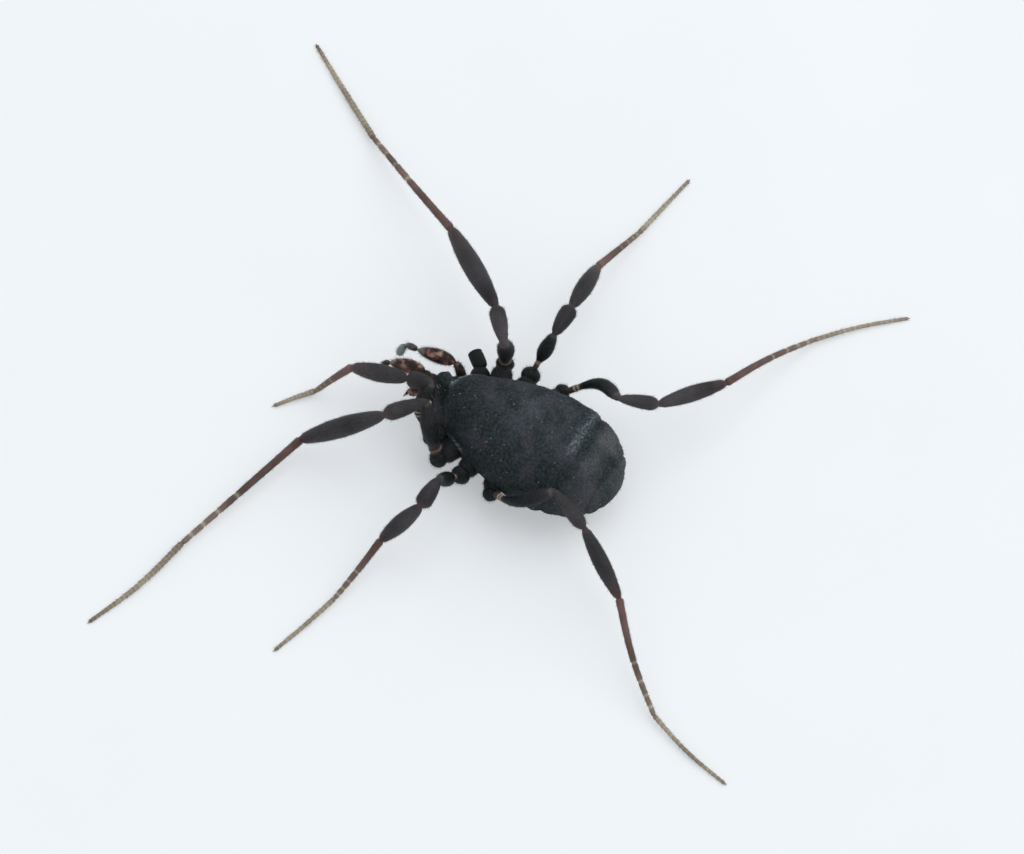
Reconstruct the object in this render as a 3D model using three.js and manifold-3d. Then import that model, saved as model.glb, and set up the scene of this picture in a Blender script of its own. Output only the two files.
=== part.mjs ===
// A black harvestman of the family Nemastomatidae, standing on seven legs, at life size.
// Millimetres, +Z up, head towards -Y, the animal's left side towards +X.
// The origin is on the floor, midway between the outermost foot tips.
import * as THREE from "three";
import { mergeVertices } from "three/addons/utils/BufferGeometryUtils.js";
import Module from "manifold-3d";

// Driving sizes.
const GAP = 0.025; // the clear joint left between one piece and the next
const BODY_SHIFT = [-0.29, 0.66]; // from the body's own middle line to the origin

// Body: an egg, blunt behind and drawn in towards the head. Everything below is in the
// body's own frame until the end.
const BODY_WIDEST_Y = 0.4;
const BODY_REAR = 1.13; // from the widest place to the tail end
const BODY_FRONT = 2.16; // from the widest place to the front edge
const BODY_HALF_WIDTH = 0.93;
const BODY_LEVEL = 0.62; // height of the widest level over the floor
const BODY_RISE = 0.66; // back above that level
const BODY_DROP = 0.42; // belly below it
const WAIST_TOP_Y = -0.62; // where the head part ends on the back
const WAIST_BELLY_Y = 0.36; // and under the belly, behind the last coxae
const REAR_PLATES_Y = 0.79; // the rear edge of the back shield

const EYE_MOUND_Y = -1.58;
const EYE_MOUND_Z = 1.0;
const EYE_RADIUS = 0.045;

// Hip points, one pair a row: sideways, along the body, height.
const HIP = {
  1: [0.72, -1.38, 0.52],
  2: [0.945, -1.09, 0.52],
  3: [0.987, -0.655, 0.52],
  4: [1.02, -0.105, 0.52],
};
const TROCHANTER_RADIUS = { 1: 0.115, 2: 0.14, 3: 0.15, 4: 0.118 };

// Leg pieces of each pair: lengths from joint to joint and the greatest half thicknesses.
const LENGTH = {
  1: { femur: 0.95, patella: 0.44, tibia: 1.0, metatarsus: 0.86, tarsus: 0.68 },
  2: { femur: 1.1, patella: 0.7, tibia: 1.83, metatarsus: 2.43, tarsus: 1.89 },
  3: { femur: 0.78, patella: 0.57, tibia: 1.07, metatarsus: 1.13, tarsus: 1.22 },
  4: { femur: 1.35, patella: 0.71, tibia: 1.19, metatarsus: 1.84, tarsus: 1.51 },
};
const HALF_THICK = {
  1: { femur: 0.1, patella: 0.128, tibia: 0.138, metatarsus: 0.058, tarsus: 0.046 },
  2: { femur: 0.13, patella: 0.125, tibia: 0.155, metatarsus: 0.058, tarsus: 0.048 },
  3: { femur: 0.114, patella: 0.13, tibia: 0.13, metatarsus: 0.054, tarsus: 0.04 },
  4: { femur: 0.1, patella: 0.108, tibia: 0.122, metatarsus: 0.054, tarsus: 0.038 },
};
// How far the middle of each femur bows, and which way: outwards, backwards, upwards.
const FEMUR_BOW = {
  1: { far: 0.18, way: [0.7, -0.7, 0] },
  2: { far: 0.1, way: [1, 0, 0] },
  3: { far: 0.03, way: [1, 0, 0.3] },
  4: { far: 0.2, way: [1, 0, 0.2] },
};
const TARSUS_RINGS = { 1: 7, 2: 14, 3: 8, 4: 9 };
const METATARSUS_END_Z = 0.1; // height of the last long joint
const TOE_RADIUS = 0.026; // the claw end of every foot
const TOE_SINK = 0.006; // how much of it is flattened against the floor

// The standing pose: compass heading of each piece (0 along +X, 90 along +Y) and, for the
// three that are off the floor, the climb, all in degrees.
const POSE = {
  leg1_left: { heading: [-152, -78, -81, -48, -39], climb: [53, -21, -22] },
  leg2_left: { heading: [-128, -33, -66, -15, -15], climb: [60, 10, -45] },
  leg2_right: { heading: [28, -137, -124, -116, -119], climb: [81, -10, -18] },
  leg3_left: { heading: [-11, 4, -42, -7, -15], climb: [52, 9, -54] },
  leg3_right: { heading: [173, -176, -172, 174, 173], climb: [44, -5, -24] },
  leg4_left: { heading: [103, 72, 62, 50, 77], climb: [40, -13, -26] },
  leg4_right: { heading: [90, 129, 148, 160, 138], climb: [42, -31, -14] },
};
// The right first leg is lost beyond its trochanter, which is left as a stub.
const STUB_FROM = [-0.67, -1.33, 0.53];
const STUB_TO = [-0.86, -1.6, 0.57];
const STUB_RADIUS = 0.114;

// Palps: the joints from the root to the tip, and the half thickness of each piece.
const PALP_JOINTS = {
  right: [[-0.17, -1.45, 0.52], [-0.39, -1.62, 0.95], [-0.25, -2.22, 0.97], [-0.24, -2.43, 0.93], [-0.146, -2.49, 0.7]],
  left: [[0.15, -1.52, 0.58], [0, -1.92, 1.0], [0.1, -2.5, 0.84], [0.14, -2.6, 0.66], [0.15, -2.62, 0.42]],
};
const PALP_HALF_THICK = { femur: 0.075, patella: 0.108, tibia: 0.05, tarsus: 0.06 };

// Chelicerae, the pincers of the mouth: root, elbow and claw tip of the left one.
const CHELICERA = [[0.1, -1.66, 0.5], [0.14, -1.96, 0.58], [0.21, -2.2, 0.2]];

// Colours.
const finish = (color, roughness) => new THREE.MeshStandardMaterial({ color, roughness, metalness: 0 });
const shell = finish(0x20262b, 0.7);
const legBrown = finish(0x3b2e2c, 0.6);
const footBrown = finish(0x8a6f4e, 0.6);
const palpRed = finish(0x7a4630, 0.45);
const eyeBlack = finish(0x070707, 0.15);

// Small tools.
const wasm = await Module();
wasm.setup();

// A geometry's shared corners, merged, with nothing but the positions left.
function welded(geometry) {
  const bare = geometry.clone();
  for (const name of Object.keys(bare.attributes)) if (name !== "position") bare.deleteAttribute(name);
  return mergeVertices(bare, 1e-5);
}

function solid(geometry) {
  const g = welded(geometry);
  return new wasm.Manifold(new wasm.Mesh({
    numProp: 3,
    vertProperties: new Float32Array(g.attributes.position.array),
    triVerts: new Uint32Array(g.index.array),
  }));
}

// Back to a three.js geometry, keeping only the largest closed surface.
function drawn(manifold) {
  const pieces = manifold.decompose().sort((a, b) => b.volume() - a.volume());
  const mesh = pieces[0].setTolerance(0.002).getMesh();
  const g = new THREE.BufferGeometry();
  g.setAttribute("position", new THREE.BufferAttribute(new Float32Array(mesh.vertProperties), mesh.numProp));
  g.setIndex(new THREE.BufferAttribute(new Uint32Array(mesh.triVerts), 1));
  return g;
}

// A turned piece between two points: profile rows are [distance along, half thickness].
function turned(from, to, profile, sides) {
  const axis = new THREE.Vector3().subVectors(to, from).normalize();
  const points = profile.map(([along, radius]) => new THREE.Vector2(radius, along));
  const g = new THREE.LatheGeometry(points, sides);
  g.applyQuaternion(new THREE.Quaternion().setFromUnitVectors(new THREE.Vector3(0, 1, 0), axis));
  g.translate(from.x, from.y, from.z);
  return g;
}

// The hollow start of a piece, hugging the ball of the joint before it.
function cup(ballRadius, startRadius, steps = 2) {
  const reach = ballRadius + GAP;
  const widest = Math.asin(Math.min(0.92, startRadius / reach));
  const rows = [];
  for (let i = 0; i <= steps; i++) {
    const a = (widest * i) / steps;
    rows.push([reach * Math.cos(a), i ? reach * Math.sin(a) : 0]);
  }
  return rows;
}

// The rounded end of a piece, a half ball about the joint after it.
function ball(length, radius, steps = 3) {
  const rows = [];
  for (let i = 0; i <= steps; i++) {
    const a = (Math.PI / 2) * (i / steps);
    rows.push([length + radius * Math.sin(a), i < steps ? radius * Math.cos(a) : 0]);
  }
  return rows;
}

const parts = [];
function add(name, geometry, material) {
  const g = geometry.clone();
  g.translate(BODY_SHIFT[0], BODY_SHIFT[1], 0);
  const mesh = new THREE.Mesh(g, material);
  mesh.name = name;
  parts.push(mesh);
}

// Legs.
// Half thickness of each piece along its length, t from 0 to 1, as a share of the greatest.
const SHAPE = {
  femur: (t) => (t < 0.22 ? 0.52 : 0.52 + 0.48 * Math.sin((Math.PI / 2) * Math.min(1, (t - 0.22) / 0.45))),
  patella: (t) => 0.45 + 0.55 * Math.sin((Math.PI / 2) * Math.min(1, t / 0.75)),
  tibia: (t) => 0.5 + 0.5 * Math.sin(Math.PI * Math.min(1, t * 1.02)) ** 0.8,
  metatarsus: (t) => 1.08 - 0.2 * t,
};
const END_SHARE = { femur: 0.92, patella: 0.9, tibia: 0.5, metatarsus: 0.88 };
const STATIONS = { femur: 8, patella: 5, tibia: 8, metatarsus: 6 };
const SIDES = { femur: 10, patella: 10, tibia: 10, metatarsus: 8, tarsus: 7 };

// Bows a piece between its two joints, most in the middle.
function bowed(g, from, to, bow, side) {
  const length = from.distanceTo(to);
  const axis = new THREE.Vector3().subVectors(to, from).normalize();
  const [out, back, up] = bow.way;
  const away = new THREE.Vector3(side * out, back, up).projectOnPlane(axis).normalize();
  const p = g.attributes.position;
  const v = new THREE.Vector3();
  for (let i = 0; i < p.count; i++) {
    v.fromBufferAttribute(p, i);
    const t = THREE.MathUtils.clamp(v.clone().sub(from).dot(axis) / length, 0, 1);
    v.addScaledVector(away, bow.far * Math.sin(Math.PI * t) ** 1.2);
    p.setXYZ(i, v.x, v.y, v.z);
  }
  return g;
}

function limbPiece(from, to, kind, half, ballBefore) {
  const length = from.distanceTo(to);
  const startRadius = half * SHAPE[kind](0);
  const rows = cup(ballBefore, startRadius);
  const first = rows[rows.length - 1][0];
  for (let i = 1; i <= STATIONS[kind]; i++) {
    const t = i / STATIONS[kind];
    rows.push([first + (length - first) * t * 0.98, half * SHAPE[kind](t)]);
  }
  rows.pop();
  rows.push(...ball(length, half * END_SHARE[kind]));
  return turned(from, to, rows, SIDES[kind]);
}

// The foot: many short rings that taper to the claw, flattened where it stands on the floor.
function foot(from, to, half, ballBefore, rings) {
  const length = from.distanceTo(to);
  const rows = cup(ballBefore, half * 0.85);
  const first = rows[rows.length - 1][0];
  const last = length - 2.2 * TOE_RADIUS;
  for (let i = 0; i < rings; i++) {
    const at = (share) => first + ((last - first) * (i + share)) / rings;
    const r = THREE.MathUtils.lerp(half, TOE_RADIUS * 1.1, (i / rings) ** 0.8);
    rows.push([at(0.3), r * 0.84], [at(0.8), r]);
  }
  rows.push(...ball(length - TOE_RADIUS, TOE_RADIUS, 3));
  const g = turned(from, to, rows, SIDES.tarsus);
  const p = g.attributes.position;
  for (let i = 0; i < p.count; i++) p.setZ(i, Math.max(0, p.getZ(i)));
  return g;
}

const direction = (heading, climb) => {
  const h = THREE.MathUtils.degToRad(heading);
  const c = THREE.MathUtils.degToRad(climb);
  return new THREE.Vector3(Math.cos(c) * Math.cos(h), Math.cos(c) * Math.sin(h), Math.sin(c));
};
const hipOf = (pair, side) => new THREE.Vector3(side * HIP[pair][0], HIP[pair][1], HIP[pair][2]);

function trochanter(pair, side) {
  const g = new THREE.SphereGeometry(TROCHANTER_RADIUS[pair], 12, 7);
  const hip = hipOf(pair, side);
  g.translate(hip.x, hip.y, hip.z);
  return g;
}

const femurRooms = [];
for (const [leg, { heading, climb }] of Object.entries(POSE)) {
  const pair = leg[3];
  const side = leg.endsWith("left") ? 1 : -1;
  const size = LENGTH[pair];
  const thick = HALF_THICK[pair];
  let joint = hipOf(pair, side);
  let ballRadius = TROCHANTER_RADIUS[pair];
  add(`${leg}_trochanter`, trochanter(pair, side), shell);
  ["femur", "patella", "tibia", "metatarsus", "tarsus"].forEach((kind, k) => {
    let rise = climb[k];
    if (kind === "metatarsus") rise = THREE.MathUtils.radToDeg(Math.asin((METATARSUS_END_Z - joint.z) / size[kind]));
    if (kind === "tarsus") {
      rise = THREE.MathUtils.radToDeg(Math.asin((TOE_RADIUS - TOE_SINK - joint.z) / size[kind]));
    }
    const next = joint.clone().addScaledVector(direction(heading[k], rise), size[kind]);
    if (kind === "tarsus") add(`${leg}_tarsus`, foot(joint, next, thick.tarsus, ballRadius, TARSUS_RINGS[pair]), footBrown);
    else {
      let g = limbPiece(joint, next, kind, thick[kind], ballRadius);
      if (kind === "femur") {
        bowed(g, joint, next, FEMUR_BOW[pair], side);
        const room = limbPiece(joint, next, kind, thick[kind] + 0.018, ballRadius);
        femurRooms.push(solid(bowed(room, joint, next, FEMUR_BOW[pair], side)));
      }
      // A knee bent sharply leaves the patella only what is clear of the femur's shaft.
      if (kind === "patella") g = drawn(solid(g).subtract(femurRooms[femurRooms.length - 1]));
      add(`${leg}_${kind}`, g, kind === "metatarsus" ? footBrown : legBrown);
      ballRadius = thick[kind] * END_SHARE[kind];
    }
    joint = next;
  });
}

// The stub: a short barrel with a flat end where the leg came away.
function stub(grow) {
  const from = new THREE.Vector3(...STUB_FROM);
  const to = new THREE.Vector3(...STUB_TO);
  const length = from.distanceTo(to);
  const r = STUB_RADIUS + grow;
  const rows = [[-grow, 0], [-grow, r * 0.75], [length * 0.2, r * 0.97], [length * 0.6, r], [length, r * 0.9], [length + grow, 0]];
  return turned(from, to, rows, 14);
}
add("leg1_right_trochanter", stub(0), shell);

// Body.
// One egg-shaped solid, cut into head part, back shield and rear plates.
const egg = new THREE.SphereGeometry(1, 32, 22);
egg.rotateX(Math.PI / 2); // poles front and rear
{
  const p = egg.attributes.position;
  for (let i = 0; i < p.count; i++) {
    const along = p.getY(i);
    const ring = Math.max(1e-9, 1 - along * along);
    const slim = along < 0 ? 1 - 0.38 * along * along : 1; // drawn in towards the head
    const steep = along < 0 && p.getZ(i) > 0 ? ring ** -0.125 : 1; // with a steep front
    p.setXYZ(
      i,
      p.getX(i) * BODY_HALF_WIDTH * slim,
      BODY_WIDEST_Y + along * (along > 0 ? BODY_REAR : BODY_FRONT),
      BODY_LEVEL + p.getZ(i) * steep * (p.getZ(i) > 0 ? BODY_RISE : BODY_DROP),
    );
  }
}
const bodySolid = solid(egg);

// A thick block standing behind the slanting line from the back's waist to the belly's.
function behind(topY, bellyY, shift) {
  const slope = Math.atan2(bellyY - topY, BODY_RISE + BODY_DROP);
  const block = new THREE.BoxGeometry(4, 4, 6);
  block.translate(0, 2 + shift, 0);
  block.rotateX(slope);
  block.translate(0, (topY + bellyY) / 2, BODY_LEVEL + (BODY_RISE - BODY_DROP) / 2);
  return solid(block);
}

// The coxae, the stout root pieces under the head part, one to each leg.
const COXA_ROOT = { 1: [0.22, -1.12, 0.44], 2: [0.26, -0.88, 0.42], 3: [0.3, -0.56, 0.42], 4: [0.32, -0.28, 0.42] };
const COXA_RADIUS = { 1: 0.13, 2: 0.16, 3: 0.165, 4: 0.17 };
let coxae = [];
let coxaeRoom = [];
for (const pair of [1, 2, 3, 4]) {
  for (const side of [1, -1]) {
    const root = new THREE.Vector3(side * COXA_ROOT[pair][0], COXA_ROOT[pair][1], COXA_ROOT[pair][2]);
    const hip = hipOf(pair, side);
    const length = root.distanceTo(hip);
    const shape = (grow) => {
      const r = COXA_RADIUS[pair] + grow;
      const rows = [[-grow, 0], [-grow, r * 0.8], [length * 0.35, r], [length * 0.8, r * 0.94], [length * 0.97, r * 0.72], [length + grow, r * 0.5], [length + grow, 0]];
      return solid(turned(root, hip, rows, 12));
    };
    coxae.push(shape(0));
    coxaeRoom.push(shape(GAP));
  }
}
const trochanterRoom = [];
for (const pair of [1, 2, 3, 4]) {
  for (const side of [1, -1]) {
    if (pair === 1 && side === -1) continue; // the stub has room of its own
    const g = new THREE.SphereGeometry(TROCHANTER_RADIUS[pair] + GAP + 0.005, 12, 8);
    const hip = hipOf(pair, side);
    g.translate(hip.x, hip.y, hip.z);
    trochanterRoom.push(solid(g));
  }
}
const rooms = wasm.Manifold.union(trochanterRoom);
const afterWaist = behind(WAIST_TOP_Y, WAIST_BELLY_Y, GAP / 2);
const beforeWaist = behind(WAIST_TOP_Y, WAIST_BELLY_Y, -GAP / 2);
const rearStart = behind(REAR_PLATES_Y + 0.04, REAR_PLATES_Y - 0.06, GAP / 2);
const rearRoom = behind(REAR_PLATES_Y + 0.04, REAR_PLATES_Y - 0.06, -GAP / 2);

// The eye mound stands on the head part with a thin joint round its foot.
function mound(grow) {
  const g = new THREE.SphereGeometry(1, 16, 10);
  g.scale(0.15 + grow, 0.15 + grow, 0.17 + grow);
  g.translate(0, EYE_MOUND_Y, EYE_MOUND_Z);
  return solid(g);
}
const eyeAt = (side) => [side * 0.108, EYE_MOUND_Y - 0.01, EYE_MOUND_Z + 0.075];
function eye(side, grow) {
  const g = new THREE.SphereGeometry(EYE_RADIUS + grow, 12, 8);
  g.translate(...eyeAt(side));
  return g;
}

// Roots of the mouth parts, kept clear of the head part.
const PALP_ROOT_BALL = 0.06;
const cheliceraJoints = (side) => CHELICERA.map(([x, y, z]) => new THREE.Vector3(side * x, y, z));
function chelicera(side) {
  const [root, elbow, tip] = cheliceraJoints(side);
  const basal = turned(root, elbow, [[0, 0], [0, 0.06], [0.1, 0.085], [0.25, 0.085], [0.32, 0.05], [0.34, 0]], 12);
  const hand = turned(elbow, tip, [[-0.07, 0], [-0.05, 0.05], [0.02, 0.075], [0.14, 0.07], [0.28, 0.05], [0.42, 0.018], [0.44, 0]], 12);
  return solid(basal).add(solid(hand));
}
function cheliceraRoom(side) {
  const [root, elbow] = cheliceraJoints(side);
  return solid(turned(root, elbow, [[-GAP, 0], [-GAP, 0.06 + GAP], [0.1, 0.085 + GAP], [0.3, 0.085 + GAP], [0.4, 0]], 12));
}
function palpRootRoom(side) {
  const [x, y, z] = PALP_JOINTS[side][0];
  const g = new THREE.SphereGeometry(PALP_ROOT_BALL + 0.03, 12, 8);
  g.translate(x, y, z);
  return solid(g);
}

let front = bodySolid.subtract(beforeWaist);
front = front.add(wasm.Manifold.union(coxae)).subtract(rooms).subtract(wasm.Manifold.union(femurRooms));
front = front.subtract(solid(stub(GAP)));
let back = bodySolid.intersect(afterWaist).subtract(wasm.Manifold.union(coxaeRoom)).subtract(rooms);
const rear = back.intersect(rearStart);
back = back.subtract(rearRoom);

// The palps: femur with its small trochanter, patella, tibia and the tarsus that curls down.
for (const side of ["right", "left"]) {
  const joints = PALP_JOINTS[side].map((p) => new THREE.Vector3(...p));
  const kinds = ["femur", "patella", "tibia", "tarsus"];
  const ends = { femur: 0.06, patella: 0.055, tibia: 0.044 };
  let before = 0.02;
  kinds.forEach((kind, k) => {
    const r = PALP_HALF_THICK[kind];
    const length = joints[k].distanceTo(joints[k + 1]);
    let rows;
    if (kind === "femur") rows = [[0, 0], [0.0, r * 0.6], [length * 0.3, r * 0.9], [length * 0.7, r], ...ball(length, ends.femur)];
    else {
      rows = cup(before, r * (kind === "patella" ? 0.45 : 0.62));
      const first = rows[rows.length - 1][0];
      const along = (t) => first + (length - first) * t;
      if (kind === "tarsus") rows.push([along(0.2), r * 0.9], [along(0.5), r], [along(0.8), r * 0.85], ...ball(length, r * 0.6));
      else rows.push([along(0.25), r * 0.82], [along(0.5), r], [along(0.78), r * 0.84], ...ball(length, ends[kind]));
    }
    add(`palp_${side}_${kind}`, turned(joints[k], joints[k + 1], rows, 12), kind === "tarsus" ? footBrown : palpRed);
    const room = kind === "femur" ? [[-GAP, 0], [-GAP, r + GAP], [length, r + GAP], [length + 0.05, 0]] : null;
    if (room) front = front.subtract(solid(turned(joints[k], joints[k + 1], room, 12)));
    before = ends[kind];
  });
}
for (const side of [1, -1]) front = front.subtract(cheliceraRoom(side));
front = front.subtract(mound(GAP));

let moundSolid = mound(0);
for (const side of [1, -1]) {
  moundSolid = moundSolid.subtract(solid(eye(side, GAP)));
  front = front.subtract(solid(eye(side, GAP)));
}

add("cephalothorax", drawn(front), shell);
add("abdomen_scutum", drawn(back), shell);
add("abdomen_rear", drawn(rear), shell);
add("eye_mound", drawn(moundSolid), shell);
add("eye_left", eye(1, 0), eyeBlack);
add("eye_right", eye(-1, 0), eyeBlack);
add("chelicera_left", drawn(chelicera(1)), palpRed);
add("chelicera_right", drawn(chelicera(-1)), palpRed);

const group = new THREE.Group();
for (const mesh of parts) group.add(mesh);

export default group;
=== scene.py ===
# A small black harvestman, life size, standing on seven legs on a pale floor.
# Sizes are in millimetres and are turned into metres as each mesh is made.
import math

import bmesh
import bpy
import numpy as np
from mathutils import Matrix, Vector


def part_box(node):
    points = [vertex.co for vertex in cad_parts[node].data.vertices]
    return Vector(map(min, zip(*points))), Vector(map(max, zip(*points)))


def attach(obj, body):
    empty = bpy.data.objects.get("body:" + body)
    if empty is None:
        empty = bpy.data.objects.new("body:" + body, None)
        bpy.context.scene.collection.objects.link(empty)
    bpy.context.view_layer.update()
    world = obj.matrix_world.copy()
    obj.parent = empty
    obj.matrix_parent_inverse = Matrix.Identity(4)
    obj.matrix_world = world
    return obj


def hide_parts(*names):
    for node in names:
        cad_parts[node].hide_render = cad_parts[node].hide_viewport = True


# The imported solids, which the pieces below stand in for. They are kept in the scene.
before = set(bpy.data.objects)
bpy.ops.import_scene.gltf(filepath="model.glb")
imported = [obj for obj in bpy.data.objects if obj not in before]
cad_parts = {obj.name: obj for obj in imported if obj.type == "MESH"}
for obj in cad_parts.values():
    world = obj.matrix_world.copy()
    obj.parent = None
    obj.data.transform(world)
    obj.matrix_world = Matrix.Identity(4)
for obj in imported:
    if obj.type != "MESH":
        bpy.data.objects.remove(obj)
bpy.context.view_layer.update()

# The body skin. One hard shell of chitin: the back shield in front, a row of narrow rear
# plates behind it and the belly below, with the eye mound raised at its front edge.
# It is an egg ruled along the animal, into which the rim and furrows are pressed.
MM = 0.001
tail_low, tail_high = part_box("abdomen_rear")
mound_low, mound_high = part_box("eye_mound")
TAIL_END_Y = 1.53
BODY_WIDEST_Y = 0.4
BODY_REAR = 1.13
BODY_FRONT = 2.16
BODY_HALF_WIDTH = 0.93
BODY_LEVEL = 0.62
BODY_RISE = 0.66
BODY_DROP = 0.42
BODY_ROWS = 220
BODY_COLUMNS = 240
# The body's own frame has its middle line at x = 0; this moves it to its place.
body_place = np.array([(tail_low.x + tail_high.x) / 2 / MM, tail_high.y / MM - TAIL_END_Y, 0.0])
mound_centre = np.array((mound_low + mound_high) / 2) / MM - body_place
MOUND_HALF = 0.16
MOUND_RISE = 0.17
# where the ridges and furrows lie along the body, and how far they stand out or cut in
RIM_HEIGHT = 0.032
BORDER_Y = -1.44
BORDER_HEIGHT = 0.022
FLANK_DEPTH = 0.11
SHOULDER_HEIGHT = 0.12
REAR_FURROW_Y = 0.8
REAR_FURROW_DEPTH = 0.036
TAIL_FURROWS = ((1.03, 0.006), (1.19, 0.01), (1.33, 0.028), (1.44, 0.018))
SHIELD_FURROWS = (-0.66, -0.28, 0.1, 0.46)
SHIELD_FURROW_DEPTH = 0.008
BELLY_FURROWS = (0.2, 0.38, 0.56, 0.74, 0.92, 1.1)
BELLY_FURROW_DEPTH = 0.014
LUMPS = ((7.0, 0.007), (13.0, 0.004), (23.0, 0.0022))


def dent(distance, width):
    """A soft furrow or ridge, 1 on its line and fading to nothing either side."""
    return np.exp(-((distance / width) ** 2))


def fade(value, start, end):
    """0 below start, 1 above end, smooth between."""
    t = np.clip((value - start) / (end - start), 0, 1)
    return t * t * (3 - 2 * t)


def body_surface(around, turn):
    """Point of the shell: turn runs 0 to pi from the front end to the tail, around once about it."""
    run = -np.cos(turn)
    ring = np.sin(turn)
    head = np.minimum(run, 0)
    y = BODY_WIDEST_Y + run * np.where(run > 0, BODY_REAR, BODY_FRONT)
    c = np.cos(around)
    s = np.sin(around)
    side = np.sign(c) * np.abs(c) ** 0.9
    up = np.sign(s) * np.abs(s) ** 0.95
    steep = np.where(run < 0, np.maximum(ring, 1e-4) ** -0.25, 1)
    x = side * BODY_HALF_WIDTH * ring * (1 - 0.38 * head**2)
    z = BODY_LEVEL + up * ring * np.where(s > 0, BODY_RISE * steep, BODY_DROP)
    return np.stack([x, y, z], -1)


rows = np.linspace(0, math.pi, BODY_ROWS + 1)[1:-1]
columns = np.linspace(0, 2 * math.pi, BODY_COLUMNS, endpoint=False)
turn, around = np.meshgrid(rows, columns, indexing="ij")
skin = body_surface(around, turn)
step = 1e-4
across = body_surface(around + step, turn) - skin
ahead = body_surface(around, turn + step) - skin
outward = np.cross(ahead, across)
outward /= np.linalg.norm(outward, axis=-1, keepdims=True) + 1e-12
outward *= np.sign((outward * (skin - [0, 0.2, BODY_LEVEL])).sum(-1, keepdims=True))
x = skin[..., 0]
y = skin[..., 1]
lift = np.arctan2(np.sin(around), np.abs(np.cos(around)))  # angle above the shield's rim
on_back = fade(lift, -0.12, 0.12)
at_sides = fade(np.abs(np.cos(around)), 0.3, 0.7)
underneath = 1 - fade(lift, -0.9, -0.6)
relief = np.zeros_like(y)
# the shield's rim, the ridge along its front border, and the hollow flank under it
side_run = fade(y, -1.6, -1.2) * (1 - fade(y, 0.7, 0.95))
front_line = y - (BORDER_Y + 1.1 * x**2)
relief += RIM_HEIGHT * dent(lift, 0.08) * side_run
relief += BORDER_HEIGHT * dent(front_line, 0.035) * fade(lift, 0.1, 0.4)
relief -= BORDER_HEIGHT * dent(front_line + 0.07, 0.04) * fade(lift, 0.1, 0.4)
relief -= FLANK_DEPTH * dent(lift + 0.42, 0.25) * fade(y, -0.5, 0.0) * (1 - fade(y, 0.75, 1.1))
# the soft shoulders under the front corners of the shield, from which the front coxae come
relief += SHOULDER_HEIGHT * dent(lift + 0.5, 0.42) * dent(y + 1.4, 0.28) * at_sides
relief += SHOULDER_HEIGHT * dent(lift + 0.55, 0.4) * dent(y + 0.85, 0.4) * at_sides
# the furrow behind the shield, and the plates of the tail
bend = 0.1 * np.abs(x / BODY_HALF_WIDTH) ** 2  # the furrows run forward at the sides
rear_line = y + bend - REAR_FURROW_Y
relief -= REAR_FURROW_DEPTH * dent(rear_line - 0.01, 0.075) * fade(lift, -0.35, 0.0)
relief -= 0.01 * dent(rear_line, 0.02) * fade(lift, -0.35, 0.0)
relief += 0.014 * dent(rear_line + 0.1, 0.07) * fade(lift, -0.1, 0.1)
for line, depth in TAIL_FURROWS:
    relief -= depth * dent(y + 0.8 * bend - line, 0.02)
# faint furrows that mark the plates fused into the shield
for line in SHIELD_FURROWS:
    bowed = y - line + 0.08 * np.cos(around) ** 2
    relief -= SHIELD_FURROW_DEPTH * dent(bowed, 0.045) * fade(lift, 0.05, 0.35)
# narrow plates across the belly, and the groove between the last pair of coxae
for line in BELLY_FURROWS:
    relief -= BELLY_FURROW_DEPTH * dent(y - line, 0.022) * underneath
relief -= 0.02 * dent(x, 0.04) * (1 - fade(y, -0.2, 0.1)) * underneath
# shallow lumps and dimples, so that no part of the skin is quite even
for k, size in LUMPS:
    across_wave = np.sin(k * x + 1.7 * np.sin(0.6 * k * y))
    wave = across_wave * np.sin(0.9 * k * y + 1.3 * np.cos(k * x))
    relief += size * wave * np.sin(turn) ** 0.5
# the eye mound
skin = skin + outward * relief[..., None]
from_mound = skin - mound_centre
reach = np.linalg.norm(from_mound[..., :2] / MOUND_HALF, axis=-1)
mound_top = mound_centre[2] + MOUND_RISE * np.sqrt(np.clip(1 - reach**2, 0, 1))
blend = 1 - fade(reach, 0.75, 1.3)
raised = np.maximum(skin[..., 2], mound_top * blend + skin[..., 2] * (1 - blend))
skin[..., 2] = np.where((reach < 1.3) & (skin[..., 2] > BODY_LEVEL), raised, skin[..., 2])
# where the skin is dusty, where a painted highlight lies over the shield and along its left rim, and
# where the tail is paler, with painted light on its right side
x = skin[..., 0]
near_rear = dent(rear_line + 0.09, 0.07) * fade(-x, -0.25, 0.1) * on_back
near_front = dent(front_line, 0.02) * fade(-x, -0.1, 0.05) * fade(lift, 0.1, 0.3)
# painted highlight: a short pale streak just above the left rim of the shield
rim_highlight = dent(lift - 0.06, 0.05) * dent(y + 0.95, 0.12) * (x > 0)
# bluish dusting along the rear furrow and the front border, the rim's painted highlight, and a faint pale
# tint over the whole top
dust_and_rim_highlight = np.clip(0.42 * near_rear + near_front + 0.8 * rim_highlight + 0.1 * on_back, 0, 1)
# the tail is paler, and painted light makes it palest on its right side, where the light falls
tail = fade(rear_line, 0.05, 0.2) * fade(lift, -0.6, -0.1)
tail *= 0.35 + 0.65 * fade(-x, -0.6, 0.5)
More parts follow.
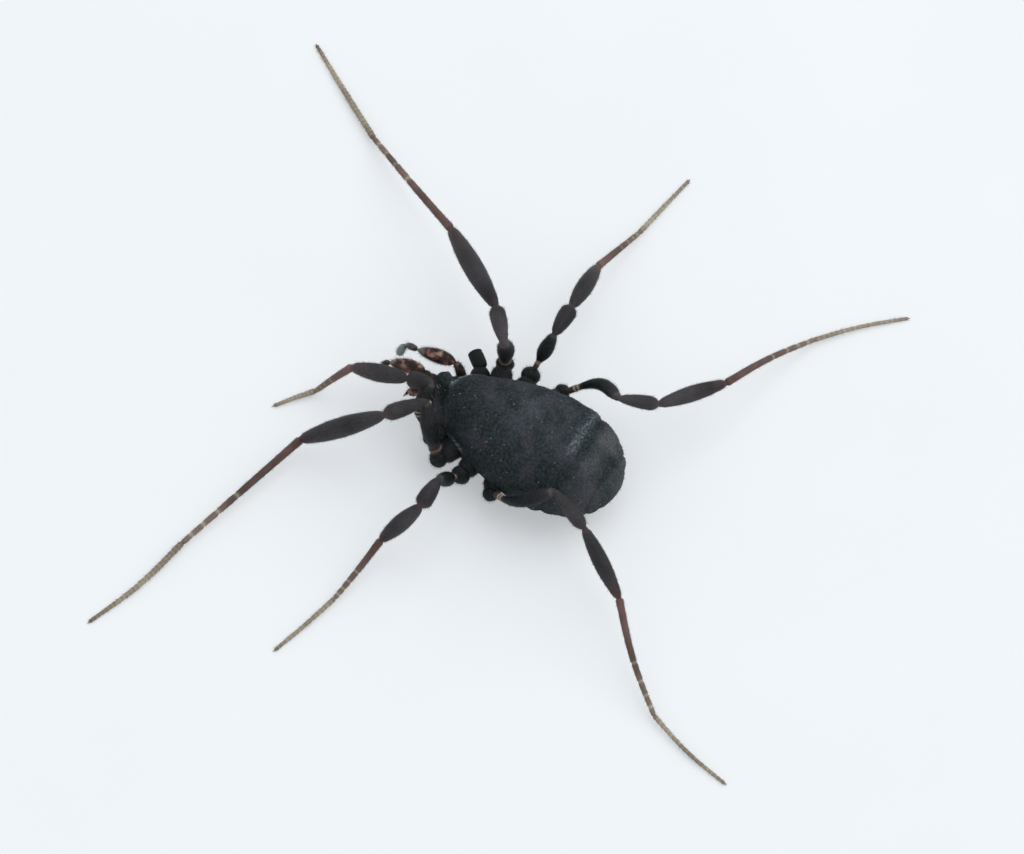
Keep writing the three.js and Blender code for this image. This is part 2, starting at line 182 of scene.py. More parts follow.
# painted highlight: a broad pale patch over the top of the shield, a little right of its middle, where
# the light falls
painted_shield_highlight = np.exp(-((x + 0.2) / 0.55) ** 2 - ((y + 0.05) / 0.75) ** 2) * on_back
front_tip = np.array([[0.0, BODY_WIDEST_Y - BODY_FRONT, BODY_LEVEL]])
tail_tip = np.array([[0.0, BODY_WIDEST_Y + BODY_REAR, BODY_LEVEL]])
points = np.concatenate([skin.reshape(-1, 3), front_tip, tail_tip]) + body_place
count = BODY_COLUMNS
faces = []
for i in range(BODY_ROWS - 2):
    for j in range(count):
        k = (j + 1) % count
        faces.append((i * count + j, i * count + k, (i + 1) * count + k, (i + 1) * count + j))
last = (BODY_ROWS - 2) * count
tips = (BODY_ROWS - 1) * count
for j in range(count):
    k = (j + 1) % count
    faces.append((k, j, tips))
    faces.append((last + j, last + k, tips + 1))


def added(name, data):
    """An object for a mesh, light or camera, put into the scene."""
    item = bpy.data.objects.new(name, data)
    bpy.context.scene.collection.objects.link(item)
    return item


def closed_mesh(name, vertices, faces):
    """A smooth piece in metres with its faces turned outwards."""
    mesh = bpy.data.meshes.new(name)
    mesh.from_pydata((np.asarray(vertices) * MM).tolist(), [], faces)
    work = bmesh.new()
    work.from_mesh(mesh)
    bmesh.ops.remove_doubles(work, verts=work.verts, dist=1e-8)
    bmesh.ops.recalc_face_normals(work, faces=work.faces)
    work.to_mesh(mesh)
    work.free()
    mesh.polygons.foreach_set("use_smooth", [True] * len(mesh.polygons))
    return added(name, mesh)


def carry(mesh, label, values, kind="FLOAT"):
    """Gives every point of a mesh a value, for finishes and hairs to read."""
    field = "vector" if kind == "FLOAT_VECTOR" else "value"
    carried = mesh.attributes.new(label, kind, "POINT")
    carried.data.foreach_set(field, np.asarray(values, np.float32).ravel())


def node_in(tree, kind, inputs=None, **settings):
    """A new node of this kind, with its settings and the plain values of its inputs."""
    node = tree.nodes.new(kind)
    for label, value in settings.items():
        setattr(node, label, value)
    for socket, value in (inputs or {}).items():
        node.inputs[socket].default_value = value
    return node


def joiner(tree):
    """A short way to link the nodes of a tree."""

    def join(source, output, target, socket):
        tree.links.new(source.outputs[output], target.inputs[socket])

    return join


def ramp_in(tree, tones):
    """A colour ramp through these tones, each a place from 0 to 1 and a tint."""
    ramp = tree.nodes.new("ShaderNodeValToRGB")
    while len(ramp.color_ramp.elements) < len(tones):
        ramp.color_ramp.elements.new(0.5)
    for element, (position, tint) in zip(ramp.color_ramp.elements, tones):
        element.position = position
        element.color = (*tint, 1)
    return ramp


# Fine grain of chitin, used on the shell and on the legs: rounded granules of one size,
# pale specks among them that are painted glints of the granules, and a slow drift between two tones.
chitin_grain = bpy.data.node_groups.new("Chitin grain", "ShaderNodeTree")
chitin_grain.interface.new_socket("Position", in_out="INPUT", socket_type="NodeSocketVector")
for label, value in (("Granules per mm", 26.0), ("Drift per mm", 1.6)):
    socket = chitin_grain.interface.new_socket(label, in_out="INPUT", socket_type="NodeSocketFloat")
    socket.default_value = value
for label in ("Height", "Drift", "Speck"):
    chitin_grain.interface.new_socket(label, in_out="OUTPUT", socket_type="NodeSocketFloat")
given = chitin_grain.nodes.new("NodeGroupInput")
made = chitin_grain.nodes.new("NodeGroupOutput")
per_metre = node_in(chitin_grain, "ShaderNodeMath", {1: 1 / MM}, operation="MULTIPLY")
drift_per_metre = node_in(chitin_grain, "ShaderNodeMath", {1: 1 / MM}, operation="MULTIPLY")
granules = node_in(chitin_grain, "ShaderNodeTexVoronoi", {"Smoothness": 0.6}, feature="SMOOTH_F1")
grit = node_in(chitin_grain, "ShaderNodeTexNoise", {"Detail": 3.0})
drift = node_in(chitin_grain, "ShaderNodeTexNoise", {"Detail": 4.0})
specks_per_granule = node_in(chitin_grain, "ShaderNodeMath", {1: 0.3}, operation="MULTIPLY")
specks = node_in(chitin_grain, "ShaderNodeTexVoronoi", feature="F1")
speck_size = node_in(chitin_grain, "ShaderNodeMapRange", {"From Min": 0.12, "From Max": 0.03})
bump_height = node_in(chitin_grain, "ShaderNodeMath", {1: -1.0}, operation="MULTIPLY_ADD")
join = joiner(chitin_grain)
for texture in (granules, grit, drift, specks):
    join(given, "Position", texture, "Vector")
join(given, "Granules per mm", per_metre, 0)
join(given, "Drift per mm", drift_per_metre, 0)
join(per_metre, 0, granules, "Scale")
join(per_metre, 0, grit, "Scale")
join(drift_per_metre, 0, drift, "Scale")
join(per_metre, 0, specks_per_granule, 0)
join(specks_per_granule, 0, specks, "Scale")
join(specks, "Distance", speck_size, "Value")
join(granules, "Distance", bump_height, 0)
join(grit, "Fac", bump_height, 2)
join(bump_height, 0, made, "Height")
join(drift, "Fac", made, "Drift")
join(speck_size, "Result", made, "Speck")
# the colour sockets of a Mix node share their names with others, so they go by number
UNDER = 6
OVER = 7
MIXED = 2


def chitin(name, tones, roughness, granules_per_mm, relief_mm, specks):
    """A matte chitin finish: tones that drift into each other, under fine granules and pale specks
    painted as glints.
    """
    material = bpy.data.materials.new(name)
    material.use_nodes = True
    tree = material.node_tree
    shader = tree.nodes["Principled BSDF"]
    shader.inputs["Specular IOR Level"].default_value = 0.18
    place = node_in(tree, "ShaderNodeTexCoord", name="Place")
    grain = node_in(tree, "ShaderNodeGroup", name="Grain", node_tree=chitin_grain)
    grain.inputs["Granules per mm"].default_value = granules_per_mm
    ramp = ramp_in(tree, tones)
    amount = node_in(tree, "ShaderNodeMath", {1: specks}, operation="MULTIPLY")
    # the specks' pale tint, painted glints on the granules
    glint_speck_tint = {OVER: (0.3, 0.33, 0.35, 1)}
    specked = node_in(tree, "ShaderNodeMix", glint_speck_tint, name="Specked", data_type="RGBA")
    wear = {"From Min": 0.3, "From Max": 0.7, "To Min": roughness - 0.08, "To Max": roughness + 0.12}
    worn = node_in(tree, "ShaderNodeMapRange", wear)
    bump = node_in(tree, "ShaderNodeBump", {"Distance": relief_mm * MM, "Strength": 0.9})
    join = joiner(tree)
    join(place, "Object", grain, "Position")
    join(grain, "Drift", ramp, "Fac")
    join(grain, "Speck", amount, 0)
    join(amount, 0, specked, 0)
    join(ramp, "Color", specked, UNDER)
    join(specked, MIXED, shader, "Base Color")
    join(grain, "Drift", worn, "Value")
    join(worn, "Result", shader, "Roughness")
    join(grain, "Height", bump, "Height")
    join(bump, "Normal", shader, "Normal")
    return material


# The shell's colour, a green black that drifts to purple grey, paler over the middle of the shield
# by a painted highlight, paler on the tail with painted light on its right side, bluish dusting in the
# furrow behind the shield and along its front border, and a painted highlight on the left rim.
shell_tones = (
    (0.4, (0.002, 0.0075, 0.007)),
    (0.51, (0.006, 0.012, 0.0122)),
    (0.63, (0.028, 0.026, 0.034)),
)
shell_black = chitin(
    "Body black", shell_tones, roughness=0.6, granules_per_mm=30.0, relief_mm=0.008, specks=0.85
)
shell_tree = shell_black.node_tree
shell_shader = shell_tree.nodes["Principled BSDF"]
shell_shader.inputs["Specular IOR Level"].default_value = 0.14
shell_tree.nodes["Grain"].inputs["Drift per mm"].default_value = 2.3
# each layer's attribute and tint, how thickly it lies, and how many patches it has to a metre
layers = (
    # a painted highlight over the shield
    ("painted_shield_highlight", (0.056, 0.066, 0.08), 0.75, 3600.0),
    # the paler tail, with painted light on its right side
    ("tail", (0.1, 0.102, 0.108), 0.7, 2400.0),
    # bluish dusting, with the painted highlight on the left rim
    ("dust_and_rim_highlight", (0.3, 0.37, 0.41), 0.85, 24000.0),
)
join = joiner(shell_tree)
below = shell_tree.nodes["Specked"]
for label, tint, amount, scale in layers:
    where = node_in(shell_tree, "ShaderNodeAttribute", attribute_name=label)
    patches = node_in(shell_tree, "ShaderNodeTexNoise", {"Scale": scale, "Detail": 4.0})
    edges = {"From Min": 0.34, "From Max": 0.66, "To Max": amount}
    ragged = node_in(shell_tree, "ShaderNodeMapRange", edges)
    share = node_in(shell_tree, "ShaderNodeMath", operation="MULTIPLY")
    mixed = node_in(shell_tree, "ShaderNodeMix", data_type="RGBA")
    mixed.inputs[OVER].default_value = (*tint, 1)
    join(shell_tree.nodes["Place"], "Object", patches, "Vector")
    join(patches, "Fac", ragged, "Value")
    join(where, "Fac", share, 0)
    join(ragged, "Result", share, 1)
    join(share, 0, mixed, 0)
    join(below, MIXED, mixed, UNDER)
    below = mixed
join(below, MIXED, shell_shader, "Base Color")

body = closed_mesh("body_skin", points, faces)
body.data.materials.append(shell_black)
for label, values in (("dust_and_rim_highlight", dust_and_rim_highlight), ("tail", tail), ("painted_shield_highlight", painted_shield_highlight)):
    carry(body.data, label, np.append(values, (0, 0)))
for label, values in (("around", around / (2 * math.pi)), ("along", turn / math.pi)):
    carry(body.data, label, np.append(values, (0, 1)))
# the way the hairs of the shell lie
carry(body.data, "way", np.tile((0.0, 1.0, -0.1), len(points)), "FLOAT_VECTOR")
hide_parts("cephalothorax", "abdomen_scutum", "abdomen_rear", "eye_mound")
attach(body, "root")


def scatter_tree(name, closed_shape):
    """A tree that sets one small shape over a skin, leaning the way the skin's hairs lie."""
    tree = bpy.data.node_groups.new(name, "GeometryNodeTree")
    tree.interface.new_socket("Geometry", in_out="INPUT", socket_type="NodeSocketGeometry")
    for label in ("Spacing", "Most per area", "Half width", "Length", "Stand", "Unrest"):
        tree.interface.new_socket(label, in_out="INPUT", socket_type="NodeSocketFloat")
    tree.interface.new_socket("Seed", in_out="INPUT", socket_type="NodeSocketInt")
    tree.interface.new_socket("Finish", in_out="INPUT", socket_type="NodeSocketMaterial")
    tree.interface.new_socket("Geometry", in_out="OUTPUT", socket_type="NodeSocketGeometry")
    given = tree.nodes.new("NodeGroupInput")
    made = tree.nodes.new("NodeGroupOutput")
    sown = node_in(tree, "GeometryNodeDistributePointsOnFaces", distribute_method="POISSON")
    named = "GeometryNodeInputNamedAttribute"
    stored = "GeometryNodeStoreNamedAttribute"
    way = node_in(tree, named, {"Name": "way"}, data_type="FLOAT_VECTOR")
    around = node_in(tree, named, {"Name": "around"})
    along = node_in(tree, named, {"Name": "along"})
    tuft = node_in(tree, named, {"Name": "tuft"}, data_type="FLOAT_VECTOR")
    upright = node_in(tree, "ShaderNodeVectorMath", operation="SCALE")
    leaning = node_in(tree, "ShaderNodeVectorMath", operation="ADD")
    any_way = {"Min": (-1, -1, -1), "Max": (1, 1, 1)}
    wander = node_in(tree, "FunctionNodeRandomValue", any_way, data_type="FLOAT_VECTOR")
    stray = node_in(tree, "ShaderNodeVectorMath", operation="SCALE")
    heading = node_in(tree, "ShaderNodeVectorMath", operation="ADD")
    turned = node_in(tree, "FunctionNodeAlignRotationToVector", axis="Z")
    if closed_shape == "granule":
        shape = node_in(tree, "GeometryNodeMeshIcoSphere", {"Radius": 1.0, "Subdivisions": 1})
    else:
        spike = {"Vertices": 4, "Radius Top": 0.12, "Radius Bottom": 1.0, "Depth": 1.0}
        shape = node_in(tree, "GeometryNodeMeshCone", spike)
    # no two shapes are quite as long as each other
    vary = node_in(tree, "FunctionNodeRandomValue", {2: 0.55, 3: 1.3}, data_type="FLOAT")
    reach = node_in(tree, "ShaderNodeMath", operation="MULTIPLY")
    size = node_in(tree, "ShaderNodeCombineXYZ")
    placed = node_in(tree, "GeometryNodeInstanceOnPoints")
    real = node_in(tree, "GeometryNodeRealizeInstances")
    smooth = node_in(tree, "GeometryNodeSetShadeSmooth")
    # each shape bakes to a small patch of its own, at the place on the skin where it stands
    shape_uv = node_in(tree, stored, {"Name": "tuft"}, data_type="FLOAT2", domain="CORNER")
    root_uv = node_in(tree, "ShaderNodeCombineXYZ")
    patch_size = {1: (0.003, 0.003, 0.003)}
    patch = node_in(tree, "ShaderNodeVectorMath", patch_size, operation="MULTIPLY_ADD")
    bake_uv = node_in(tree, stored, {"Name": "OFBake"}, data_type="FLOAT2", domain="CORNER")
    painted = node_in(tree, "GeometryNodeSetMaterial")
    join = joiner(tree)
    join(given, "Geometry", sown, "Mesh")
    join(given, "Spacing", sown, "Distance Min")
    join(given, "Most per area", sown, "Density Max")
    for random_draw in (sown, wander, vary):
        join(given, "Seed", random_draw, "Seed")
    join(sown, "Normal", upright, 0)
    join(given, "Stand", upright, "Scale")
    join(upright, 0, leaning, 0)
    join(way, "Attribute", leaning, 1)
    join(wander, "Value", stray, 0)
    join(given, "Unrest", stray, "Scale")
    join(leaning, 0, heading, 0)
    join(stray, 0, heading, 1)
    join(heading, 0, turned, "Vector")
    join(given, "Length", reach, 0)
    join(vary, 1, reach, 1)
    join(given, "Half width", size, "X")
    join(given, "Half width", size, "Y")
    join(reach, 0, size, "Z")
    join(shape, "Mesh", shape_uv, "Geometry")
    join(shape, "UV Map", shape_uv, "Value")
    join(sown, "Points", placed, "Points")
    join(shape_uv, "Geometry", placed, "Instance")
    join(turned, "Rotation", placed, "Rotation")
    join(size, "Vector", placed, "Scale")
    join(placed, "Instances", real, "Geometry")
    join(real, "Geometry", smooth, "Geometry")
    join(around, "Attribute", root_uv, "X")
    join(along, "Attribute", root_uv, "Y")
    join(tuft, "Attribute", patch, 0)
    join(root_uv, "Vector", patch, 2)
    join(smooth, "Geometry", bake_uv, "Geometry")
    join(patch, "Vector", bake_uv, "Value")
    join(bake_uv, "Geometry", painted, "Geometry")
    join(given, "Finish", painted, "Material")
    join(painted, "Geometry", made, "Geometry")
    return tree


def grown(name, base, tree, values):
    """What a geometry tree makes of a mesh, as a plain mesh."""
    carrier = added(name + "_carrier", base)
    modifier = carrier.modifiers.new("Tree", "NODES")
    modifier.node_group = tree
    inputs = [item for item in tree.interface.items_tree if item.in_out == "INPUT"]
    sockets = {item.name: item.identifier for item in inputs}
    for label, value in values.items():
        modifier[sockets[label]] = value
    bpy.context.view_layer.update()
    graph = bpy.context.evaluated_depsgraph_get()
    mesh = bpy.data.meshes.new_from_object(carrier.evaluated_get(graph))
    bpy.data.objects.remove(carrier)
    mesh.name = name
    for vertex in mesh.vertices:
        vertex.co.z = max(vertex.co.z, 0.0)  # nothing reaches under the floor
    return mesh


def scattered(name, skin_piece, tree, finish, most_per_mm2, seed, sizes, stand, unrest):
    """The small shapes of a tree over one finished skin: sizes are their spacing, half width, length."""
    spacing, half_width, length = sizes
    values = {
        "Spacing": spacing * MM,
        "Most per area": most_per_mm2 / MM**2,
        "Half width": half_width * MM,
        "Length": length * MM,
        "Stand": stand,
        "Unrest": unrest,
        "Seed": seed,
        "Finish": finish,
    }
    mesh = grown(name, skin_piece.data, tree, values)
    for label in ("tuft", "way", "around", "along", "dust_and_rim_highlight", "tail", "painted_shield_highlight", "thickness"):
        if label in mesh.attributes:
            mesh.attributes.remove(mesh.attributes[label])
    piece = added(name, mesh)
    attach(piece, "root")


# The granules of the shell, low beads of the same chitin that stand over all of it and catch
# the light. They have grown out of the skin, and each is half sunk into it.
granule_tree = scatter_tree("Granules", "granule")
granule_tones = (
    (0.35, (0.006, 0.011, 0.012)),
    (0.55, (0.016, 0.019, 0.022)),
    (0.75, (0.06, 0.065, 0.075)),
)
granule_horn = chitin(
    "Granule horn", granule_tones, roughness=0.45, granules_per_mm=60.0, relief_mm=0.002, specks=0.2
)
granule_horn.node_tree.nodes["Principled BSDF"].inputs["Specular IOR Level"].default_value = 0.14
granule_sizes = (0.042, 0.0085, 0.0075)
scattered(
    "body_granules", body, granule_tree, granule_horn,
    most_per_mm2=900, seed=7, sizes=granule_sizes, stand=3.0, unrest=0.3,
)

# The hairs of the shell, a thin scatter of short stiff bristles of chitin. Each is rooted
# in the skin and points towards the tail.
bristle_tree = scatter_tree("Bristles", "bristle")
bristle_tones = ((0.3, (0.04, 0.035, 0.032)), (0.7, (0.12, 0.105, 0.095)))
bristle_horn = chitin(
    "Bristle horn", bristle_tones, roughness=0.5, granules_per_mm=60.0, relief_mm=0.001, specks=0.0
)
bristle_sizes = (0.085, 0.0024, 0.045)
scattered(
    "body_bristles", body, bristle_tree, bristle_horn,
    most_per_mm2=300, seed=11, sizes=bristle_sizes, stand=0.9, unrest=0.5,
)

# The eyes, two black lenses as smooth as glass. They are clear chitin over a dark inside,
# one set in each side of the mound.
LENS_STRETCH = (1, 1.05, 0.97)
eye_black = bpy.data.materials.new("Eye black")
eye_black.use_nodes = True
eye_tree = eye_black.node_tree
eye_shader = eye_tree.nodes["Principled BSDF"]
eye_shader.inputs["Roughness"].default_value = 0.08
eye_shader.inputs["Coat Weight"].default_value = 1.0
eye_place = node_in(eye_tree, "ShaderNodeTexCoord")
lens_depth = node_in(eye_tree, "ShaderNodeTexNoise", {"Scale": 9000.0})
lens_tones = ramp_in(eye_tree, ((0.0, (0.002, 0.002, 0.003)), (1.0, (0.012, 0.007, 0.006))))
join = joiner(eye_tree)
join(eye_place, "Object", lens_depth, "Vector")
join(lens_depth, "Fac", lens_tones, "Fac")
join(lens_tones, "Color", eye_shader, "Base Color")
for side in ("left", "right"):
    low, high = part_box(f"eye_{side}")
    centre = np.array((low + high) / 2) / MM
    radius = (high.x - low.x) / 2 / MM
    lens = bmesh.new()
    bmesh.ops.create_uvsphere(lens, u_segments=48, v_segments=32, radius=radius)
    ball = [tuple(centre + np.array(v.co) * LENS_STRETCH) for v in lens.verts]
    lens_faces = [[v.index for v in f.verts] for f in lens.faces]
    lens.free()
    eye = closed_mesh(f"eye_{side}_lens", ball, lens_faces)
    eye.data.materials.append(eye_black)
    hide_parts(f"eye_{side}")
    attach(eye, "root")

# The legs. Each is a row of hard tubes, coxa, trochanter, femur, patella, tibia, metatarsus
# and a many-ringed tarsus, joined by soft skin. They are swept along the leg's own path,
# which follows the pose of the solids from the hip down.
HIP = {
    1: (0.72, -1.38, 0.52),
    2: (0.945, -1.09, 0.52),
    3: (0.987, -0.655, 0.52),
    4: (1.02, -0.105, 0.52),
}
COXA_ROOT = {
    1: (0.22, -1.12, 0.44),
    2: (0.26, -0.88, 0.42),
    3: (0.3, -0.56, 0.42),
    4: (0.32, -0.28, 0.42),
}
COXA_HALF = {1: 0.165, 2: 0.175, 3: 0.17, 4: 0.175}
TROCHANTER_HALF = {1: 0.115, 2: 0.14, 3: 0.15, 4: 0.118}
LIMB = ("femur", "patella", "tibia", "metatarsus", "tarsus")
LENGTH = {
    1: (0.95, 0.44, 1.0, 0.86, 0.68),
    2: (1.1, 0.7, 1.83, 2.43, 1.89),
    3: (0.78, 0.57, 1.07, 1.13, 1.22),
    4: (1.35, 0.71, 1.19, 1.84, 1.51),
}
HALF_THICK = {
    1: (0.1, 0.128, 0.138, 0.058, 0.046),
    2: (0.13, 0.125, 0.155, 0.058, 0.048),
    3: (0.114, 0.13, 0.13, 0.054, 0.04),
    4: (0.1, 0.108, 0.122, 0.054, 0.038),
}
# how far the middle of each femur bows, and which way: outwards, backwards, upwards
FEMUR_BOW = {
    1: (0.18, (0.7, -0.7, 0)),
    2: (0.035, (1, 0, 0)),
    3: (0.03, (1, 0, 0.3)),
    4: (0.2, (1, 0, 0.2)),
}
# how far a metatarsus and its foot bow, as a share of their length, where they bend sharply
FAR_BOW = 0.14
# the second left foot curls on its own instead
CURLED_FOOT_WAY = (0.2, 1.0, 0.0)
CURLED_FOOT_BOW = 0.065
FOOT_RINGS = {1: 11, 2: 26, 3: 15, 4: 18}
FOOT_TAPER = {1: 0.9, 2: 1.8, 3: 0.9, 4: 0.8}
# where each femur is thickest, how thin its neck is, and where its pale rings sit
FEMUR_CLUB = {1: 0.62, 2: 0.5, 3: 0.52, 4: 0.7}
FEMUR_NECK = {1: 0.5, 2: 0.72, 3: 0.36, 4: 0.5}
FEMUR_RINGS = {1: (0.4, 0.47), 2: (0.13,), 3: (0.2, 0.245), 4: (0.155, 0.205)}
RING_PALENESS = {1: 0.9, 2: 0.3, 3: 0.8, 4: 0.95}
# the ridges of a femur lie on its pale rings, but for the first pair's
FIRST_FEMUR_RIDGES = (0.15, 0.2)
PSEUDO_JOINTS = (0.54, 0.7, 0.82, 0.92)
TOE_HALF = 0.026
TOE_SINK = 0.006
# how far a piece reaches past its joints, and how far out of its trochanter a femur starts,
# as shares of the half thickness
OVERLAP = 0.15
FEMUR_START = 0.6
# the height at which the last two pieces end
END_Z = {"metatarsus": 0.1, "tarsus": TOE_HALF - TOE_SINK}
CLAW_REACH = 0.034
CLAW_SINK = 0.02
CLAW_BOW = 0.008
CLAW_HALF = 0.0085
CLAW_TIP_Z = 0.004
LEG_SIDES = 24
CLAW_SIDES = 12
UP = (0, 0, 1)
# compass heading of each piece, 0 along +X and 90 along +Y, and the climb of the first three
POSE = {
    "leg1_left": ((-152, -78, -81, -48, -39), (53, -21, -22)),
    "leg2_left": ((-128, -33, -66, -15, -15), (60, 10, -45)),
    "leg2_right": ((28, -137, -124, -116, -119), (81, -10, -18)),
    "leg3_left": ((-11, 4, -42, -7, -15), (52, 9, -54)),
    "leg3_right": ((173, -176, -172, 174, 173), (44, -5, -24)),
    "leg4_left": ((103, 72, 62, 50, 77), (40, -13, -26)),
    "leg4_right": ((90, 129, 148, 160, 138), (42, -31, -14)),
}

# The sweep: edges with a thickness become round closed tubes, and carry their other
# attributes on to the skin.
sweep = bpy.data.node_groups.new("Swept limb", "GeometryNodeTree")
sweep.interface.new_socket("Geometry", in_out="INPUT", socket_type="NodeSocketGeometry")
sweep.interface.new_socket("Sides", in_out="INPUT", socket_type="NodeSocketInt")
sweep.interface.new_socket("Finish", in_out="INPUT", socket_type="NodeSocketMaterial")
sweep.interface.new_socket("Geometry", in_out="OUTPUT", socket_type="NodeSocketGeometry")
given = sweep.nodes.new("NodeGroupInput")
made = sweep.nodes.new("NodeGroupOutput")
to_curve = node_in(sweep, "GeometryNodeMeshToCurve")
circle = node_in(sweep, "GeometryNodeCurvePrimitiveCircle", {"Radius": 1.0})
round_place = node_in(sweep, "GeometryNodeSplineParameter")
keep_round = node_in(sweep, "GeometryNodeStoreNamedAttribute", {"Name": "around"})
tube = node_in(sweep, "GeometryNodeCurveToMesh")
thickness = node_in(sweep, "GeometryNodeInputNamedAttribute", {"Name": "thickness"})
weld = node_in(sweep, "GeometryNodeMergeByDistance", {"Distance": 1e-8})
smooth = node_in(sweep, "GeometryNodeSetShadeSmooth")
realize = node_in(sweep, "GeometryNodeRealizeInstances")
painted = node_in(sweep, "GeometryNodeSetMaterial")
join = joiner(sweep)
join(given, "Geometry", to_curve, "Mesh")
join(given, "Sides", circle, "Resolution")
join(circle, "Curve", keep_round, "Geometry")
join(round_place, "Factor", keep_round, "Value")
join(to_curve, "Curve", tube, "Curve")
join(keep_round, "Geometry", tube, "Profile Curve")
join(thickness, "Attribute", tube, "Scale")
join(tube, "Mesh", weld, "Geometry")
join(weld, "Geometry", smooth, "Geometry")
join(smooth, "Geometry", realize, "Geometry")
join(realize, "Geometry", painted, "Geometry")
join(given, "Finish", painted, "Material")
join(painted, "Geometry", made, "Geometry")


def heading_to(heading, climb):
    """The direction that a compass heading and a climb, both in degrees, point in."""
    h = math.radians(heading)
    c = math.radians(climb)
    return np.array([math.cos(c) * math.cos(h), math.cos(c) * math.sin(h), math.sin(c)])


def tone(*pairs):
    """A tone that changes along a piece: pairs of place and value."""
    places = [p for p, v in pairs]
    values = [v for p, v in pairs]
    return lambda t: np.interp(t, places, values)


def swelling(ends, rise, stretch=1.0, shift=0.0, power=1.0):
    """The shape of a piece that is thin at its ends and swells between them."""
    return lambda t: ends + rise * np.sin(math.pi * np.clip(t * stretch + shift, 0, 1)) ** power


# tones of paleness and brownness; under zero, brownness is how black the piece is
PLAIN = tone((0, 0))
BROWN = tone((0, 1))
BLACK = tone((0, -1))
COXA_BROWN = tone((0, -1), (0.9, -1), (1, -0.6))
FEMUR_BROWN = tone(
    (0, 0.45), (0.14, 0.55), (0.24, 0.2), (0.3, -1), (0.8, -0.8), (0.95, -0.2), (1, 0.2)
)
PATELLA_BROWN = tone((0, 0.3), (0.16, -0.15), (0.85, 0), (1, 0.35))
TIBIA_BROWN = tone((0, 0.3), (0.1, 0), (0.75, 0.05), (0.92, 0.45), (1, 0.9))
METATARSUS_BROWN = tone((0, 1), (0.4, 0.75), (1, 0.9))
FOOT_BROWN = tone((0, 0.9))


def strand(start, end, half, shape, brown, pale=PLAIN, stations=30, bow=0.0, bow_way=UP, caps=(0.8, 0.8)):
    """One tube's path: rows of x, y, z, thickness, paleness, brownness, the way it runs and its place."""
    start = np.asarray(start, float)
    end = np.asarray(end, float)
    length = np.linalg.norm(end - start)
    axis = (end - start) / length
    t = np.linspace(0, 1, stations)
    rounded = half * caps[0] * (1 - np.cos(np.linspace(0, math.pi / 2, 7))) / length
    t = np.unique(np.concatenate([t[(t > rounded[-1]) & (t < 1 - rounded[-1])], rounded, 1 - rounded]))
    thick = half * shape(t)
    for distance, size in ((t * length, caps[0]), ((1 - t) * length, caps[1])):
        near = np.clip(distance / (half * size), 0, 1)
        thick = thick * np.sqrt(np.maximum(0, 1 - (1 - near) ** 2))
    away = np.array(bow_way, float)
    away -= axis * away.dot(axis)
    away /= np.linalg.norm(away)
    place = start + axis * (t * length)[:, None] + bow * np.sin(math.pi * t)[:, None] ** 1.2 * away
    return np.column_stack([place, thick, pale(t), brown(t), np.tile(axis, (len(t), 1)), t])


def rings(t, number, depth):
    """Thinner at each of a number of joints spread evenly along a piece."""
    nearest = np.abs(t * number - np.round(t * number))
    return 1 - depth * dent(nearest, 0.14)


def coxa_shape(t):
    """A stout barrel with a groove near its outer end."""
    barrel = 0.8 + 0.2 * np.sin(math.pi * t)
    return barrel * (1 - 0.3 * fade(t, 0.78, 1.0)) * (1 - 0.06 * dent(t - 0.86, 0.03))


def femur_shape(pair):
    """A slim ringed neck that swells into a club and draws in again at the knee."""
    club = FEMUR_CLUB[pair]
    neck = FEMUR_NECK[pair]
    ridge_places = FEMUR_RINGS[pair] if pair > 1 else FIRST_FEMUR_RIDGES

    def shape(t):
        swell = neck + (1 - neck) * np.sin(math.pi / 2 * np.clip((t - 0.2) / (club - 0.2), 0, 1)) ** 1.4
        draw_in = 1 - 0.42 * fade(t, club + 0.08, 1.0)
        grooves = sum(dent(t - place - 0.022, 0.012) for place in ridge_places)
        ridges = sum(dent(t - place, 0.014) for place in ridge_places)
        return swell * draw_in * (1 - 0.2 * grooves + 0.12 * ridges)

    return shape


def femur_pale(pair):
    """The pale rings on the neck of a femur, and a faint one at its knee."""

    def pale(t):
        band = sum(dent(t - place, 0.013) for place in FEMUR_RINGS[pair])
        return np.clip(RING_PALENESS[pair] * band + 0.1 * dent(t - 0.95, 0.02), 0, 1)

    return pale


def patella_shape(t):
    """A short piece that thickens towards the shin."""
    swell = 0.46 + 0.54 * np.sin(math.pi / 2 * np.clip(t / 0.68, 0, 1)) ** 1.2
    return swell * (1 - 0.4 * fade(t, 0.78, 1.0)) * (1 - 0.1 * dent(t - 0.1, 0.03))


def tibia_shape(t):
    """The swollen shin, grooved near both ends."""
    swell = 0.4 + 0.6 * np.sin(math.pi * np.clip(t * 0.97 + 0.02, 0, 1)) ** 0.95
    return swell * (1 - 0.12 * dent(t - 0.05, 0.018) - 0.1 * dent(t - 0.955, 0.015))


def metatarsus_shape(t):
    """A thin rod that narrows outwards, notched at its false joints."""
    knots = sum(dent(t - place, 0.009) for place in PSEUDO_JOINTS)
    return (1.08 - 0.4 * t + 0.1 * dent(t, 0.05)) * (1 - 0.2 * knots)


def metatarsus_pale(t):
    """Paler outwards, and palest at the false joints."""
    knots = sum(dent(t - place, 0.012) for place in PSEUDO_JOINTS)
    return 0.06 + 0.2 * fade(t, 0.3, 1.0) + 0.5 * knots


def foot_shape(pair):
    """A row of short rings that tapers to the toe."""
    narrowing = 1 - TOE_HALF / HALF_THICK[pair][4]
    return lambda t: (1 - narrowing * t ** FOOT_TAPER[pair]) * rings(t, FOOT_RINGS[pair], 0.13)


def foot_pale(pair):
    """Pale horn, palest in the grooves between the rings, and darker at the toe."""

    def pale(t):
        groove = 1 - rings(t, FOOT_RINGS[pair], 1.0)
        return 0.6 * fade(t, -0.15, 0.2) + 0.28 * groove - 0.3 * fade(t, 0.75, 1.0)

    return pale


def claw_shape(t):
    """A hook that comes to a point."""
    return 1.05 - 0.8 * t


